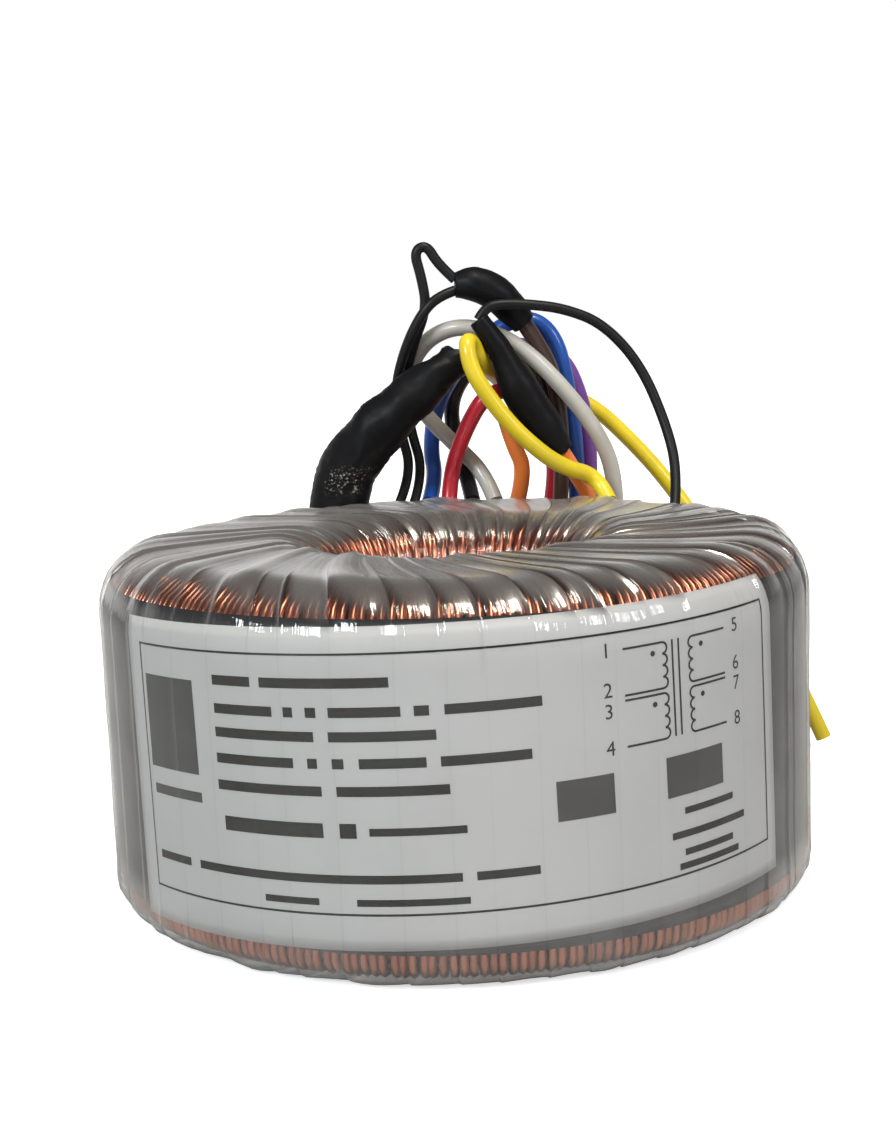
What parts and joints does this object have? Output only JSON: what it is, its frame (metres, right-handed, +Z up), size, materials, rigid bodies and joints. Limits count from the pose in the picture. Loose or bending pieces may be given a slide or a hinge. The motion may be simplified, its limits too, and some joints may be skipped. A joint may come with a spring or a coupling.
{
  "type": "toroidal transformer",
  "caption": "Ring-shaped mains transformer: copper windings over a ring core under clear tape, a label round the front and loose coloured leads at the back.",
  "frame": {"origin": "centre of the flat underside, on the axis of the centre hole", "axes": "+Z up along the axis of the centre hole; -Y towards the label; the leads leave the top at the back, at +Y"},
  "size_m": [0.1137, 0.1237, 0.0865],
  "materials": {
    "core": "wound strip, dull",
    "core_cap": "moulded, satin",
    "primary_wire": "enamelled copper, glossy",
    "secondary_wire": "enamelled copper, glossy",
    "barrier": "polyester tape",
    "band": "dark insulating strip",
    "label": "printed paper under clear tape",
    "film": "clear polyester tape, glossy and wrinkled",
    "sleeve_black": "shrunk tubing, satin",
    "tail_black": "thin woven sleeving, satin",
    "lead_grey": "extruded insulation, satin",
    "lead_blue": "extruded insulation, satin",
    "lead_violet": "extruded insulation, satin",
    "lead_brown": "extruded insulation, satin",
    "lead_black": "extruded insulation, satin",
    "lead_red": "extruded insulation, satin",
    "lead_orange": "extruded insulation, satin",
    "lead_yellow": "extruded insulation, satin"
  },
  "bodies": {
    "root": {"core": "core", "core_cap_top": "core_cap", "core_cap_bottom": "core_cap", "primary_winding_a": "primary_wire", "primary_winding_b": "primary_wire", "interwinding_barrier": "barrier", "secondary_winding_a": "secondary_wire", "secondary_winding_b": "secondary_wire", "outer_band": "band", "label": "label", "outer_film": "film", "primary_boot": "sleeve_black", "splice_sleeve_arch": "sleeve_black", "splice_sleeve_middle": "sleeve_black", "tail_right": "tail_black", "tail_left": "tail_black", "tail_back": "tail_black", "lead_grey": "lead_grey", "lead_blue": "lead_blue", "lead_violet": "lead_violet", "lead_brown": "lead_brown", "lead_black": "lead_black", "lead_red": "lead_red", "lead_orange": "lead_orange", "lead_yellow": "lead_yellow"}
  },
  "joints": []
}
